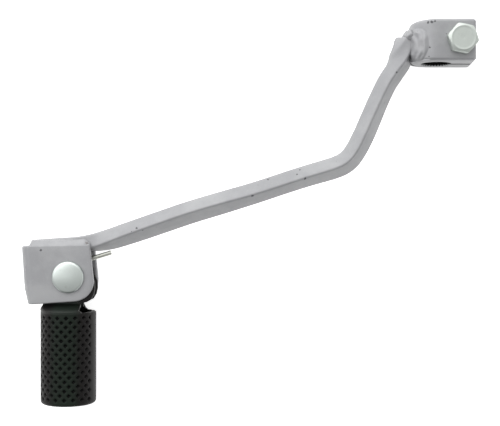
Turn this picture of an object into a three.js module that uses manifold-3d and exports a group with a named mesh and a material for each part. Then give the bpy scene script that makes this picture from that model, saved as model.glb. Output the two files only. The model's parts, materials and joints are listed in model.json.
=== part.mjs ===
// A motorcycle gear shift lever with a folding tip, in millimetres.
// The origin is the centre of the splined bore. Y is the bore's axis (+Y inboard), X points
// rearward and Z up, so the arm reaches forward (-X) and outward, and the foot peg points to -Y.
import * as THREE from 'three';
import * as BufferGeometryUtils from 'three/addons/utils/BufferGeometryUtils.js';
import Module from 'manifold-3d';

const wasm = await Module();
wasm.setup();

// Hub clamp and pinch bolt
const HUB_R = 10.2;
const HUB_HALF_THICKNESS = 10;
const HUB_HALF_WIDTH = 7.6;
const HUB_END_X = 13.1;
const HUB_REAR_END_X = 14.4;
const HUB_EDGE = 1.3;
const HUB_CORNER = 1.5;
const BORE_TIP_R = 5.1;
const BORE_ROOT_R = 5.6;
const SPLINE_TEETH = 30;
const SLOT_HALF = 0.9;
const BOLT_X = 7.6;
const BOLT_R = 2.9;
const BOLT_HOLE_R = 3.2;
const BOLT_HEAD_ACROSS_FLATS = 10;
const BOLT_HEAD_HEIGHT = 4;
const BOLT_HEAD_TURN = THREE.MathUtils.degToRad(-10.9);

// Arm: flat bar, set on edge, twisted between its ends
const BAR_THICKNESS = 5.4;
const BAR_DEPTH = 8.5;
const BAR_CORNER = 0.8;

// Stations along the arm: centre x and y, and the section's roll about its length in degrees.
// Negative roll turns the bar's lower side face up towards +Z.
const ARM_STATIONS = [
  [-149.5, -75.5, 0],
  [-139, -74.8, 0],
  [-131, -74.25, -3],
  [-126, -73.75, -13],
  [-121, -72.65, -22],
  [-113.6, -70.3, -28],
  [-103, -66.7, -30],
  [-91.3, -62.7, -30],
  [-80, -59.3, -29],
  [-69, -56, -25],
  [-46.7, -48.8, -24],
  [-41.5, -47.3, -25],
  [-37.6, -46.1, -26],
  [-34.2, -44.6, -27],
  [-31.8, -42.6, -28],
  [-29.8, -39.8, -28],
  [-27, -34.5, -29],
  [-24.2, -28.1, -28],
  [-20.9, -20.4, -25],
  [-18, -14.5, -24],
  [-15.1, -9.6, -24],
  [-14, -6.5, -19],
  [-13.4, -3.7, -9],
  [-12.9, -0.8, -3],
  [-12.6, 1.9, 0],
];
// The bar's upper end is forged thicker, and bevelled on its forward top corner.
const END_SWELL = 1.3;
const SWELL_FROM_Y = -11;
const SWELL_TO_Y = -5;
const BEVEL_FROM_Y = -8;
const BEVEL_WIDTH = 3.6;
const BEVEL_DROP = 2.2;
// The weld between the bar's upper end and the hub's barrel, one lump on each side.
const HUB_WELD_X = -8.7;
const HUB_WELD_Y = -1.3;
const HUB_WELD_Z = 6;
const HUB_WELD_RADII = new THREE.Vector3(5.2, 6.4, 3.7);
const HUB_WELD_TURN = THREE.MathUtils.degToRad(-8);

// Bracket, in a frame centred on the pivot and tilted with the arm's end
const PIVOT = new THREE.Vector2(-135.4, -86.3);
const BRACKET_TILT = THREE.MathUtils.degToRad(3.8);
const BRACKET = { left: -16.7, right: 9.1, top: 12.2, bottom: -9.1 };
const BRACKET_SHEET = 2.5;
const BRACKET_HALF_DEPTH = 7;
const BRACKET_CORNER_R = 7.5;
const BEND_R = 3.5;
// The plates lean in at the foot of their forward edge, and their top edge falls towards the rear.
const BRACKET_FOOT_INSET = 1;
const BRACKET_FOOT_RISE = 6.5;
const BRACKET_TOP_FALL = 0.8;
const BRACKET_TOP_INSET = 0.5;
const BRACKET_BEAD_HEIGHT = 1.9;
const GAP_HALF = BRACKET_HALF_DEPTH - BRACKET_SHEET;

// Rivet, sleeve and spring on the pivot
const RIVET_R = 2.25;
const RIVET_HOLE_R = 2.45;
const RIVET_HEAD_R = 5.85;
const RIVET_HEAD_HEIGHT = 2;
const RIVET_TAIL_R = 4.2;
const RIVET_TAIL_HEIGHT = 1.5;
const SLEEVE_R = 3;
const WIRE_R = 0.78;
const COIL_R = 4.05;
const COIL_HALF_DEPTH = 1.8;
const COIL_TURNS = 2;
const COIL_START = THREE.MathUtils.degToRad(108.4);
const COIL_EXTRA = THREE.MathUtils.degToRad(56);
const UPPER_LEG = 17;
const LOWER_LEG = 18;

// Foot peg: one sheet, two ears and a rolled tube
const PEG_X = -136.4;
const PEG_R = 10.2;
const PEG_SHEET = 1.6;
const PEG_TOP_Y = -99.3;
const PEG_BOTTOM_Y = -133.3;
const PEG_SEAM_HALF = 0.6;
const EAR_OUTER_Z = 4.3;
const EAR_HOLE_R = 3.3;
const EAR_CROWN_R = 8.3;
const NECK_LEFT_X = -144.6;
const NECK_RIGHT_X = -131.4;
const NECK_BEND_Y = -96.9;
// The lobe below and beside an ear's pivot, from the crown's edge round to the neck.
const LOBE = [
  [8.8, 0.2],
  [9.4, -2],
  [9.4, -4.5],
  [8.9, -6.8],
  [7.8, -8.6],
  [6.3, -9.4],
  [3, -9.6],
  [0, -6],
];
// The lug beside an ear's neck that meets the bracket's bend.
const STOP_LUG = [
  [-144.6, -95.4],
  [-140, -96],
  [-140, -86.5],
  [-143, -86.5],
  [-148.4, -90],
  [-148.1, -94.6],
];

const OVERRUN = 5;
const SLIVER = 0.005;
const SEAT_GAP = 0.02;
const ROUND_STEPS = 24;
const FULL_TURN = 2 * Math.PI;

const steel = (color, roughness, metalness) =>
  new THREE.MeshStandardMaterial({ color, roughness, metalness });
const silverPaint = () => steel(0xb0b1b3, 0.45, 0.35);
const zincPlate = () => steel(0xc6c8bf, 0.3, 0.9);
const blackFinish = () => steel(0x20231f, 0.4, 0.4);

// A geometry as a manifold, and back again.
function solidFrom(geometry) {
  const bare = new THREE.BufferGeometry();
  bare.setAttribute('position', geometry.getAttribute('position'));
  bare.setIndex(geometry.getIndex());
  const merged = BufferGeometryUtils.mergeVertices(bare, 1e-4);
  return new wasm.Manifold(new wasm.Mesh({
    numProp: 3,
    vertProperties: new Float32Array(merged.getAttribute('position').array),
    triVerts: new Uint32Array(merged.getIndex().array),
  }));
}

function meshOf(solid, name, material) {
  const mesh = solid.simplify(SLIVER).getMesh();
  const geometry = new THREE.BufferGeometry();
  geometry.setAttribute('position', new THREE.BufferAttribute(mesh.vertProperties, 3));
  geometry.setIndex(new THREE.BufferAttribute(mesh.triVerts, 1));
  geometry.computeVertexNormals();
  const node = new THREE.Mesh(geometry, material);
  node.name = name;
  return node;
}

// Joins equal rings of points, first to last, into a closed body.
function loft(rings) {
  const count = rings[0].length;
  const positions = rings.flat().flatMap((p) => [p.x, p.y, p.z]);
  const index = [];
  for (let r = 0; r + 1 < rings.length; r += 1) {
    for (let k = 0; k < count; k += 1) {
      const a = r * count + k;
      const b = r * count + (k + 1) % count;
      index.push(a, b, b + count, a, b + count, a + count);
    }
  }
  const last = (rings.length - 1) * count;
  for (let k = 1; k + 1 < count; k += 1) {
    index.push(0, k + 1, k);
    index.push(last, last + k, last + k + 1);
  }
  const geometry = new THREE.BufferGeometry();
  geometry.setAttribute('position', new THREE.Float32BufferAttribute(positions, 3));
  geometry.setIndex(index);
  return solidFrom(geometry);
}

// A rod along Z.
function rodZ(radius, x, y, zLow, zHigh, sides = ROUND_STEPS) {
  const geometry = new THREE.CylinderGeometry(radius, radius, zHigh - zLow, sides);
  geometry.rotateX(Math.PI / 2);
  geometry.translate(x, y, (zLow + zHigh) / 2);
  return solidFrom(geometry);
}

function box(low, high) {
  const size = new THREE.Vector3().subVectors(high, low);
  const geometry = new THREE.BoxGeometry(size.x, size.y, size.z);
  geometry.translate((low.x + high.x) / 2, (low.y + high.y) / 2, (low.z + high.z) / 2);
  return solidFrom(geometry);
}

// A lathe profile of [radius, height] pairs turned about Z at x, y.
function turned(profile, x, y, sides = ROUND_STEPS) {
  const points = profile.map(([radius, height]) => new THREE.Vector2(radius, height));
  const geometry = new THREE.LatheGeometry(points, sides);
  geometry.rotateX(Math.PI / 2);
  geometry.translate(x, y, 0);
  return solidFrom(geometry);
}

// Extrudes an XZ outline along Y, from -halfWidth to halfWidth.
function extrudeY(shape, halfWidth, options = {}) {
  const bevel = options.bevelThickness ?? 0;
  const geometry = new THREE.ExtrudeGeometry(shape, {
    depth: 2 * (halfWidth - bevel),
    bevelEnabled: false,
    curveSegments: 10,
    ...options,
  });
  geometry.translate(0, 0, bevel - halfWidth);
  geometry.rotateX(Math.PI / 2);
  return solidFrom(geometry);
}

function boreOutline() {
  const shape = new THREE.Shape();
  const step = FULL_TURN / (4 * SPLINE_TEETH);
  for (let k = 0; k < 4 * SPLINE_TEETH; k += 1) {
    const radius = k % 4 < 2 ? BORE_TIP_R : BORE_ROOT_R;
    const x = radius * Math.cos(k * step);
    const z = radius * Math.sin(k * step);
    if (k === 0) shape.moveTo(x, z);
    else shape.lineTo(x, z);
  }
  return shape;
}

// Outline in X and Z: a round barrel on the left, square ears with small corners on the right.
// The rear ear reaches a little further than the front one.
function hubOutline() {
  const corner = HUB_CORNER;
  const meet = Math.asin(HUB_HALF_THICKNESS / HUB_R);
  const shape = new THREE.Shape();
  shape.absarc(0, 0, HUB_R, Math.PI - meet, Math.PI + meet, false);
  const lean = Math.atan2(HUB_REAR_END_X - HUB_END_X, 2 * (HUB_HALF_THICKNESS - corner));
  shape.absarc(HUB_REAR_END_X - corner, corner - HUB_HALF_THICKNESS, corner, -Math.PI / 2, lean, false);
  shape.absarc(HUB_END_X - corner, HUB_HALF_THICKNESS - corner, corner, lean, Math.PI / 2, false);
  return shape;
}

function hubBlock(grow = 0) {
  const block = extrudeY(hubOutline(), HUB_HALF_WIDTH + grow, {
    bevelEnabled: true,
    bevelThickness: HUB_EDGE,
    bevelSize: HUB_EDGE,
    bevelOffset: grow - HUB_EDGE,
    bevelSegments: 2,
  });
  return block;
}

function hubClamp() {
  const bore = extrudeY(boreOutline(), HUB_HALF_WIDTH + OVERRUN);
  const slot = box(
    new THREE.Vector3(BORE_TIP_R - 1, -HUB_HALF_WIDTH - OVERRUN, -SLOT_HALF),
    new THREE.Vector3(HUB_REAR_END_X + OVERRUN, HUB_HALF_WIDTH + OVERRUN, SLOT_HALF),
  );
  const boltHole = rodZ(BOLT_HOLE_R, BOLT_X, 0, -HUB_HALF_THICKNESS - OVERRUN, HUB_HALF_THICKNESS + OVERRUN);
  return hubBlock().subtract(bore).subtract(slot).subtract(boltHole);
}

function pinchBolt() {
  const across = BOLT_HEAD_ACROSS_FLATS / 2;
  const corner = across / Math.cos(Math.PI / 6);
  const bottom = HUB_HALF_THICKNESS;
  const top = bottom + BOLT_HEAD_HEIGHT;
  const hex = new THREE.CylinderGeometry(corner, corner, BOLT_HEAD_HEIGHT, 6);
  hex.rotateX(Math.PI / 2);
  // three.js starts the ring at +Z, which rotateX carries to -Y; a quarter turn brings it to +X.
  hex.rotateZ(Math.PI / 2 + BOLT_HEAD_TURN);
  hex.translate(BOLT_X, 0, (bottom + top) / 2);
  const chamfer = turned([
    [0, bottom],
    [corner + 0.5, bottom],
    [corner + 0.5, top - 1],
    [across - 0.6, top],
    [0, top],
  ], BOLT_X, 0);
  const shank = rodZ(BOLT_R, BOLT_X, 0, -HUB_HALF_THICKNESS, bottom + 1);
  return solidFrom(hex).intersect(chamfer).add(shank);
}

// The corners of the bar's section about a station.
function barSection(centre, along, roll, thickness) {
  const up = new THREE.Vector3(0, 0, 1);
  const across = new THREE.Vector3().crossVectors(up, along).normalize();
  const thick = across.clone().multiplyScalar(Math.cos(roll)).addScaledVector(up, Math.sin(roll));
  const deep = up.clone().multiplyScalar(Math.cos(roll)).addScaledVector(across, -Math.sin(roll));
  const a = thickness / 2;
  const b = BAR_DEPTH / 2;
  const c = BAR_CORNER;
  const corners = [
    [a, c - b], [a, b - c], [a - c, b], [c - a, b],
    [-a, b - c], [-a, c - b], [c - a, -b], [a - c, -b],
  ];
  return corners.map(([u, v]) => centre.clone().addScaledVector(thick, u).addScaledVector(deep, v));
}

function arm() {
  const centres = ARM_STATIONS.map(([x, y]) => new THREE.Vector3(x, y, 0));
  const rings = centres.map((centre, k) => {
    const before = centres[Math.max(k - 1, 0)];
    const after = centres[Math.min(k + 1, centres.length - 1)];
    const along = new THREE.Vector3().subVectors(after, before).normalize();
    const swell = THREE.MathUtils.smoothstep(centre.y, SWELL_FROM_Y, SWELL_TO_Y);
    const thickness = BAR_THICKNESS + END_SWELL * swell;
    return barSection(centre, along, THREE.MathUtils.degToRad(ARM_STATIONS[k][2]), thickness);
  });
  return loft(rings).subtract(endBevel());
}

// The wedge taken off the forward top corner of the arm's upper end.
function endBevel() {
  const [endX, endY] = ARM_STATIONS[ARM_STATIONS.length - 1];
  const start = ARM_STATIONS.find(([, y]) => y > BEVEL_FROM_Y);
  const half = (BAR_THICKNESS + END_SWELL) / 2;
  const top = BAR_DEPTH / 2;
  const reach = 4;
  const wedge = (x, y, share) => {
    const left = x - half;
    return [
      new THREE.Vector3(left + share * BEVEL_WIDTH + 1, y, top + reach),
      new THREE.Vector3(left + share * BEVEL_WIDTH, y, top),
      new THREE.Vector3(left - reach, y, top - share * BEVEL_DROP - reach * BEVEL_DROP / BEVEL_WIDTH),
      new THREE.Vector3(left - reach, y, top + reach),
    ];
  };
  return loft([wedge(start[0] - 1.1, start[1] - 1.2, 0), wedge(endX, endY + 1, 1)]);
}

// A stretched ball, for a weld bead.
function bead(centre, radii, turn) {
  const geometry = new THREE.SphereGeometry(1, 16, 10);
  geometry.scale(radii.x, radii.y, radii.z);
  geometry.rotateZ(turn);
  geometry.translate(centre.x, centre.y, centre.z);
  return solidFrom(geometry);
}

// Fills the corner between the arm's upper end and the barrel, on one side of the lever.
function hubWeld(side, armSolid) {
  const centre = new THREE.Vector3(HUB_WELD_X, HUB_WELD_Y, side * HUB_WELD_Z);
  const lump = bead(centre, HUB_WELD_RADII, HUB_WELD_TURN);
  return lump.subtract(hubBlock(SEAT_GAP)).subtract(armSolid);
}

// Turns a point of the bracket's own frame into the lever's.
function fromBracket(x, y) {
  return new THREE.Vector2(x, y).rotateAround(new THREE.Vector2(0, 0), BRACKET_TILT).add(PIVOT);
}

function bracketSolidFrom(geometry) {
  geometry.rotateZ(BRACKET_TILT);
  geometry.translate(PIVOT.x, PIVOT.y, 0);
  return solidFrom(geometry);
}

// The plate's outline seen from the side, and the U seen from the end: the bracket is what both share.
function bracket() {
  const { left, right, top, bottom } = BRACKET;
  const r = BRACKET_CORNER_R;
  const side = new THREE.Shape();
  side.moveTo(left + BRACKET_FOOT_INSET, bottom);
  side.lineTo(right - r, bottom);
  side.absarc(right - r, bottom + r, r, -Math.PI / 2, 0, false);
  side.lineTo(right - BRACKET_TOP_INSET, top - BRACKET_TOP_FALL);
  side.lineTo(left, top);
  side.lineTo(left, bottom + BRACKET_FOOT_RISE);
  const plates = new THREE.ExtrudeGeometry(side, {
    depth: 2 * BRACKET_HALF_DEPTH, bevelEnabled: false, curveSegments: 8,
  });
  plates.translate(0, 0, -BRACKET_HALF_DEPTH);

  const outer = BRACKET_HALF_DEPTH;
  const inner = GAP_HALF;
  const innerBend = BEND_R - BRACKET_SHEET;
  const bendX = left + BEND_R;
  const u = new THREE.Shape();
  u.moveTo(right + 1, outer);
  u.lineTo(bendX, outer);
  u.absarc(bendX, outer - BEND_R, BEND_R, Math.PI / 2, Math.PI, false);
  u.absarc(bendX, BEND_R - outer, BEND_R, Math.PI, 1.5 * Math.PI, false);
  u.lineTo(right + 1, -outer);
  u.lineTo(right + 1, -inner);
  u.lineTo(bendX, -inner);
  u.absarc(bendX, innerBend - inner, innerBend, 1.5 * Math.PI, Math.PI, true);
  u.absarc(bendX, inner - innerBend, innerBend, Math.PI, Math.PI / 2, true);
  u.lineTo(right + 1, inner);
  const height = top - bottom + 2;
  const channel = new THREE.ExtrudeGeometry(u, {
    depth: height, bevelEnabled: false, curveSegments: 5,
  });
  channel.rotateX(Math.PI / 2);
  channel.translate(0, top + 1, 0);

  const hole = rodZ(RIVET_HOLE_R, PIVOT.x, PIVOT.y, -outer - OVERRUN, outer + OVERRUN);
  return bracketSolidFrom(plates).intersect(bracketSolidFrom(channel)).subtract(hole);
}

// A bead in the corner between a plate's top edge and the arm's end.
function bracketWeld() {
  const { left, right, top } = BRACKET;
  const foot = GAP_HALF - 0.2;
  const crest = BRACKET_HALF_DEPTH - 0.4;
  const stations = [
    [left + 1.6, 0.35],
    [left + 3, 0.8],
    [left + 6, 1],
    [right - 4, 1],
    [right - 2, 0.8],
    [right - 1, 0.35],
  ];
  const rings = stations.map(([x, size]) => {
    const y = top - 0.78 * (x - left) / (right - left);
    const height = BRACKET_BEAD_HEIGHT * size;
    const reach = foot + (crest - foot) * size;
    const section = [
      [foot, y + 0.02], [reach, y + 0.02], [reach - 0.25, y + 0.4 * height],
      [foot + 0.45 * (reach - foot), y + 0.8 * height], [foot, y + height],
    ];
    return section.map(([z, v]) => {
      const p = fromBracket(x, v);
      return new THREE.Vector3(p.x, p.y, z);
    }).reverse();
  });
  return loft(rings);
}

function pivotRivet() {
  const front = BRACKET_HALF_DEPTH;
  const headTop = front + RIVET_HEAD_HEIGHT;
  const tail = -front - RIVET_TAIL_HEIGHT;
  return turned([
    [0, tail],
    [RIVET_TAIL_R - 1.2, tail],
    [RIVET_TAIL_R - 0.2, tail + 0.6],
    [RIVET_TAIL_R, -front],
    [RIVET_R, -front],
    [RIVET_R, front],
    [RIVET_HEAD_R, front],
    [RIVET_HEAD_R, front + 0.5],
    [RIVET_HEAD_R - 0.6, front + 1],
    [RIVET_HEAD_R - 2.2, headTop - 0.3],
    [0, headTop],
  ], PIVOT.x, PIVOT.y, 32);
}

function pivotSleeve() {
  const half = GAP_HALF - SEAT_GAP;
  const hole = rodZ(RIVET_HOLE_R, PIVOT.x, PIVOT.y, -half - 1, half + 1);
  return rodZ(SLEEVE_R, PIVOT.x, PIVOT.y, -half, half).subtract(hole);
}

// The wire's centre line: a leg under the arm, the coil, and a leg down into the peg.
function springPath() {
  const sweep = COIL_TURNS * FULL_TURN + COIL_EXTRA;
  const steps = 16 * COIL_TURNS + 3;
  const at = (share) => {
    const angle = COIL_START + share * sweep;
    return new THREE.Vector3(
      PIVOT.x + COIL_R * Math.cos(angle),
      PIVOT.y + COIL_R * Math.sin(angle),
      COIL_HALF_DEPTH * (1 - 2 * share),
    );
  };
  const points = [];
  for (let k = 0; k <= steps; k += 1) points.push(at(k / steps));
  const leg = (point, angle, length) =>
    point.clone().add(new THREE.Vector3(length * Math.cos(angle), length * Math.sin(angle), 0));
  const first = leg(points[0], COIL_START - Math.PI / 2, UPPER_LEG);
  const last = leg(points[points.length - 1], COIL_START + sweep + Math.PI / 2, LOWER_LEG);
  return [first, ...points, last];
}

function returnSpring() {
  const path = springPath();
  const rings = path.map((centre, k) => {
    const before = path[Math.max(k - 1, 0)];
    const after = path[Math.min(k + 1, path.length - 1)];
    const along = new THREE.Vector3().subVectors(after, before).normalize();
    const up = new THREE.Vector3(0, 0, 1);
    const across = new THREE.Vector3().crossVectors(up, along).normalize();
    const over = new THREE.Vector3().crossVectors(along, across);
    const ring = [];
    for (let s = 0; s < 8; s += 1) {
      const angle = s * FULL_TURN / 8;
      ring.push(centre.clone()
        .addScaledVector(across, WIRE_R * Math.cos(angle))
        .addScaledVector(over, WIRE_R * Math.sin(angle)));
    }
    return ring;
  });
  return loft(rings);
}

// One ear's flat sheet: a round crown that clears the arm as the peg folds, and the lobe.
function earDisc() {
  const crown = rodZ(EAR_CROWN_R, PIVOT.x, PIVOT.y, EAR_OUTER_Z - PEG_SHEET, EAR_OUTER_Z, 36);
  const outline = new THREE.Shape([
    new THREE.Vector2(PIVOT.x, PIVOT.y),
    ...LOBE.slice().reverse().map(([x, y]) => new THREE.Vector2(x, y).add(PIVOT)),
  ]);
  const lobe = new THREE.ExtrudeGeometry(outline, { depth: PEG_SHEET, bevelEnabled: false });
  lobe.translate(0, 0, EAR_OUTER_Z - PEG_SHEET);
  return crown.add(solidFrom(lobe));
}

// The lug that meets the bracket's bend and stops the peg at rest.
function stopLug() {
  const lug = new THREE.Shape(STOP_LUG.map(([x, y]) => new THREE.Vector2(x, y)));
  const geometry = new THREE.ExtrudeGeometry(lug, { depth: PEG_SHEET, bevelEnabled: false });
  geometry.translate(0, 0, EAR_OUTER_Z - PEG_SHEET);
  return solidFrom(geometry);
}

// The sheet between an ear and the tube: flat above, and spread to the tube's round wall below.
// Each ring starts at its inward corner, from which the whole section can be seen.
function neck() {
  const columns = 8;
  const rings = [];
  for (let k = 0; k <= columns; k += 1) {
    const x = NECK_LEFT_X + (NECK_RIGHT_X - NECK_LEFT_X) * k / columns;
    const offset = x - PEG_X;
    const outer = Math.sqrt(PEG_R ** 2 - offset ** 2) - 0.08;
    const inner = Math.sqrt((PEG_R - PEG_SHEET) ** 2 - offset ** 2) + 0.02;
    rings.push([
      [NECK_BEND_Y - 0.8, EAR_OUTER_Z - PEG_SHEET],
      [PIVOT.y, EAR_OUTER_Z - PEG_SHEET],
      [PIVOT.y, EAR_OUTER_Z],
      [NECK_BEND_Y, EAR_OUTER_Z],
      [PEG_TOP_Y - 1, outer],
      [PEG_TOP_Y - 1, inner],
    ].map(([y, z]) => new THREE.Vector3(x, y, z)));
  }
  return loft(rings);
}

function pegTube() {
  const inner = PEG_R - PEG_SHEET;
  const length = PEG_TOP_Y - PEG_BOTTOM_Y;
  const profile = [
    [inner, 0],
    [PEG_R - 1, 0],
    [PEG_R - 0.3, 0.4],
    [PEG_R, 1.3],
    [PEG_R, length],
    [inner, length],
    [inner, 0],
  ].map(([radius, height]) => new THREE.Vector2(radius, height));
  const geometry = new THREE.LatheGeometry(profile, 40);
  geometry.translate(PEG_X, PEG_BOTTOM_Y, 0);
  // The seam runs down the tube's rear right side.
  const seam = new THREE.BoxGeometry(PEG_SHEET * 3, length + OVERRUN, 2 * PEG_SEAM_HALF);
  seam.translate(PEG_R, 0, 0);
  seam.rotateY(THREE.MathUtils.degToRad(35));
  seam.translate(PEG_X, (PEG_TOP_Y + PEG_BOTTOM_Y) / 2, 0);
  return solidFrom(geometry).subtract(solidFrom(seam));
}

function footPeg() {
  const ear = neck().add(earDisc()).add(stopLug());
  const hole = rodZ(EAR_HOLE_R, PIVOT.x, PIVOT.y, -PEG_R, PEG_R);
  return pegTube().add(ear).add(ear.mirror([0, 0, 1])).subtract(hole);
}

const armSolid = arm();
const upperBead = bracketWeld();
const lowerBead = upperBead.mirror([0, 0, 1]);
const lever = new THREE.Group();
lever.name = 'lever';
lever.add(
  meshOf(hubClamp(), 'hub_clamp', silverPaint()),
  meshOf(armSolid.subtract(hubBlock(SEAT_GAP)), 'arm', silverPaint()),
  meshOf(hubWeld(1, armSolid), 'hub_weld_top', silverPaint()),
  meshOf(hubWeld(-1, armSolid), 'hub_weld_bottom', silverPaint()),
  meshOf(pinchBolt(), 'pinch_bolt', zincPlate()),
  meshOf(bracket(), 'bracket', silverPaint()),
  meshOf(upperBead.subtract(armSolid), 'bracket_weld_top', silverPaint()),
  meshOf(lowerBead.subtract(armSolid), 'bracket_weld_bottom', silverPaint()),
  meshOf(pivotRivet(), 'pivot_rivet', zincPlate()),
  meshOf(pivotSleeve(), 'pivot_sleeve', zincPlate()),
  meshOf(returnSpring(), 'return_spring', zincPlate()),
);

const peg = new THREE.Group();
peg.name = 'peg';
peg.add(meshOf(footPeg(), 'foot_peg', blackFinish()));

const shiftLever = new THREE.Group();
shiftLever.name = 'shift_lever';
shiftLever.add(lever, peg);

export default shiftLever;
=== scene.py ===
"""A motorcycle gear shift lever with a folding tip: painted steel, zinc hardware, black peg."""

import math

import bmesh
import bpy
import numpy as np
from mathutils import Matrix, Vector, noise
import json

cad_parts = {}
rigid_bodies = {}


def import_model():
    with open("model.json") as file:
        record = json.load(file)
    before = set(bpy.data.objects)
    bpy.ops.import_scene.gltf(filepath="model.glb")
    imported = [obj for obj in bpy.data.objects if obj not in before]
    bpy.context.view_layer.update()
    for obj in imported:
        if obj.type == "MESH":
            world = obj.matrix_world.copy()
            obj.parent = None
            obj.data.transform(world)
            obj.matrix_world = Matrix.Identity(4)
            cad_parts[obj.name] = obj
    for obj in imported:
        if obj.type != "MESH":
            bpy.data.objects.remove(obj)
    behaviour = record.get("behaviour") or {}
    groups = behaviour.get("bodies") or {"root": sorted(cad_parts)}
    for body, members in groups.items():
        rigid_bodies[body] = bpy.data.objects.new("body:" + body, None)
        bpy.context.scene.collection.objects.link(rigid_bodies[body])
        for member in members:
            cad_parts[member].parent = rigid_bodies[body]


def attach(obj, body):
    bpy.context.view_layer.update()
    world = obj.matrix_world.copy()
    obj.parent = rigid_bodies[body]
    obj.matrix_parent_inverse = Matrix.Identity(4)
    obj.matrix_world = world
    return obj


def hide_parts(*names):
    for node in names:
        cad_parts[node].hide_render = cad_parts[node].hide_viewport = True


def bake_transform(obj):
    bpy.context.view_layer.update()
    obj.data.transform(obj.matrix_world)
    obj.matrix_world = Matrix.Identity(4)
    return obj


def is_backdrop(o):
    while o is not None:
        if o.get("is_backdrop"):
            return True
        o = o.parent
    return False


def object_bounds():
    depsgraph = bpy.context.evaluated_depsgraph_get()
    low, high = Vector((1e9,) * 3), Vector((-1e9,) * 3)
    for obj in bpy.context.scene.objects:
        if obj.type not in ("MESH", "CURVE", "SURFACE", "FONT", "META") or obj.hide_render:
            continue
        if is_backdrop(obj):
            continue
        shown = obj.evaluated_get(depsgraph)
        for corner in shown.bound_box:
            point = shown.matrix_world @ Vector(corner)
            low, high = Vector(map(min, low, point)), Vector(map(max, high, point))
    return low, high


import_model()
cad_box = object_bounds()

MM = 0.001
TURN = 2 * math.pi

# Hub clamp and bolt (millimetres)
HUB_R = 10.2
HUB_HALF_THICKNESS = 10.0
HUB_HALF_WIDTH = 7.6
HUB_END_X = 13.1
HUB_REAR_END_X = 14.4
HUB_CORNER = 1.5
BARREL_FROM_X = -5.0
BORE_TIP_R = 5.05
BORE_ROOT_R = 5.7
SPLINE_TEETH = 30
SLOT_HALF = 0.9
BOLT_X = 7.6
BOLT_HOLE_R = 3.15
BOLT_R = 2.95
BOLT_HEAD_FLAT = 5.0
BOLT_HEAD_CORNER = 5.62
BOLT_HEAD_HEIGHT = 4.0
BOLT_HEAD_TURN = math.radians(-10.9)
THREAD_DEPTH = 0.55

# Arm: flat bar
BAR_THICKNESS = 5.4
BAR_DEPTH = 8.5
BAR_CORNER = 0.75
BAR_END_EDGE = 0.8
END_SWELL = 1.8
END_TAPER = 1.0
BEVEL_FROM_Y = -8.0
BEVEL_WIDTH = 3.6
BEVEL_DROP = 2.2

# Bracket, in a frame centred on the pivot and tilted with the arm's end
PIVOT = (-135.4, -86.3)
BRACKET_TILT = math.radians(3.8)
LEFT, RIGHT, TOP, BOTTOM = -16.7, 9.1, 12.2, -9.1
BRACKET_SHEET = 2.5
BRACKET_HALF_DEPTH = 7.0
BRACKET_CORNER_R = 7.5
BEND_R = 3.5

# Rivet and return spring
RIVET_R = 2.3
COIL_R = 4.05
COIL_HALF_DEPTH = 1.8
COIL_START = math.radians(106.8)
COIL_EXTRA = math.radians(57.6)
WIRE_R = 0.83
UPPER_LEG = 17
LOWER_LEG = 18

# Foot peg
PEG_X = -136.4
PEG_R = 10.2
NECK_STEP = 0.02
PEG_SHEET = 1.6
PEG_TOP_Y = -99.3
PEG_BOTTOM_Y = -133.3
PEG_TOP_EDGE = 0.35
PEG_BOTTOM_EDGE = 1.3
SEAM_ANGLE = math.radians(-35)
EAR_Z = 3.5
EAR_CROWN_R = 8.3
NECK_LEFT_X = -145.1
NECK_RIGHT_X = -131.3
NECK_FLARE = 1.9
NECK_FLARE_Y = -98.4
DIMPLE_PITCH = 3.3
DIMPLE_ROW = 1.653
DIMPLE_LAST_ROW = 18
DIMPLE_DEPTH = 0.75
DIMPLED = (math.radians(28), math.radians(287))
SEAM_HALF = 0.6


# ---------------------------------------------------------------- shader maths


class Value:
    """A socket in a material, with arithmetic that adds Math nodes."""

    def __init__(self, paint, socket):
        self.paint = paint
        self.socket = socket

    def math(self, operation, first, second):
        return self.paint.node("ShaderNodeMath", {"operation": operation}, {0: first, 1: second})

    def __add__(self, other):
        return self.math("ADD", self, other)

    __radd__ = __add__

    def __sub__(self, other):
        return self.math("SUBTRACT", self, other)

    def __rsub__(self, other):
        return self.math("SUBTRACT", other, self)

    def __mul__(self, other):
        return self.math("MULTIPLY", self, other)

    __rmul__ = __mul__

    def __abs__(self):
        return self.math("ABSOLUTE", self, 0.0)


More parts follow.
